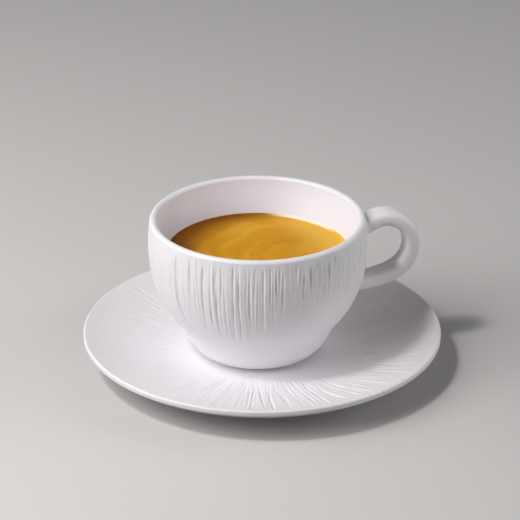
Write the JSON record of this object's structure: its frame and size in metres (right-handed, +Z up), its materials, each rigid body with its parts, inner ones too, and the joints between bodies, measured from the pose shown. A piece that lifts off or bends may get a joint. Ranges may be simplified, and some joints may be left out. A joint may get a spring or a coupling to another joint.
{
  "type": "americano coffee in a cup and saucer",
  "caption": "Americano with golden crema in a thick white stoneware cup with a loop handle and a finely grooved wall, standing on its matching saucer.",
  "frame": {"origin": "on the table under the centre of the saucer", "axes": "+Z up, +X from the saucer's centre towards the cup's handle, +Y to the left of the handle seen from above; the plane Y = 0 halves the handle"},
  "size_m": [0.15, 0.15, 0.0657],
  "materials": {
    "stoneware": "white, satin matt glaze over an impressed groove relief",
    "coffee": "wet golden-brown crema over dark coffee"
  },
  "bodies": {
    "root": {"saucer": "stoneware", "cup": "stoneware", "coffee": "coffee"}
  },
  "joints": []
}
